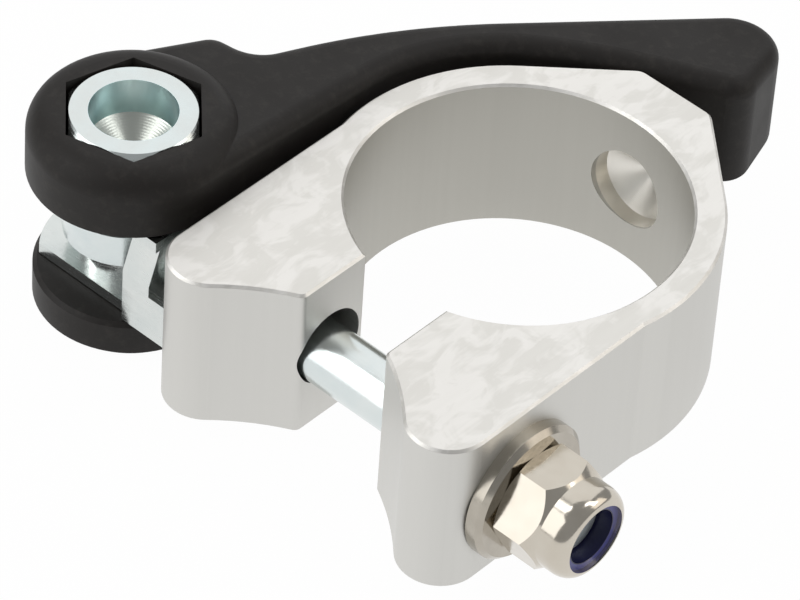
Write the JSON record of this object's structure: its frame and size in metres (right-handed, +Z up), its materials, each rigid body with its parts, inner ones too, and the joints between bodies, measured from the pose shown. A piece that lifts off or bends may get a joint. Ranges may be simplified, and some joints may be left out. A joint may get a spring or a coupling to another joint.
{
  "type": "seatpost clamp",
  "caption": "Quick-release seatpost clamp: split aluminium collar closed by a cross bolt with a lock nut and a bent black lever turning a cam.",
  "frame": {"origin": "on the bore axis, halfway up the collar", "axes": "+Z up along the bore, +X along the cross bolt from the lever to the nut, -Y towards the gap between the ears"},
  "size_m": [0.0671, 0.0652, 0.023],
  "materials": {
    "collar_aluminium": "tumbled satin",
    "zinc_steel": "bright zinc plate",
    "black_nylon": "satin moulded",
    "nickel_steel": "bright nickel plate",
    "blue_nylon": "smooth moulded"
  },
  "bodies": {
    "collar": {"collar": "collar_aluminium"},
    "stirrup": {"stirrup": "zinc_steel"},
    "lever": {"lever": "black_nylon", "cam_barrel": "zinc_steel"},
    "bolt": {"eye_bolt": "zinc_steel"},
    "washer": {"washer": "nickel_steel"},
    "nut": {"lock_nut": "nickel_steel", "nylon_insert": "blue_nylon"}
  },
  "joints": [
    {"name": "skewer_swivel", "type": "hinge", "parent": "collar", "child": "stirrup", "pos_m": [0, -0.0198, -0.0006], "axis": [1, 0, 0], "continuous": true},
    {"name": "lever_swing", "type": "hinge", "parent": "stirrup", "child": "lever", "pos_m": [-0.0296, -0.0198, 0.00005], "axis": [0, 0, 1], "range_deg": [0, 180]},
    {"name": "bolt_pull", "type": "slide", "parent": "stirrup", "child": "bolt", "axis": [1, 0, 0], "range_m": [0, 0.0015]},
    {"name": "washer_slide", "type": "slide", "parent": "bolt", "child": "washer", "axis": [1, 0, 0], "range_m": [0, 0.003]},
    {"name": "nut_turn", "type": "hinge", "parent": "washer", "child": "nut", "pos_m": [0.0185, -0.0198, -0.0006], "axis": [1, 0, 0], "range_deg": [0, 1080]}
  ],
  "couplings": [
    {"joint": "bolt_pull", "follows": "lever_swing", "m_per_rad": 0.000477},
    {"joint": "nut_turn", "follows": "washer_slide", "rad_per_m": 6283}
  ]
}
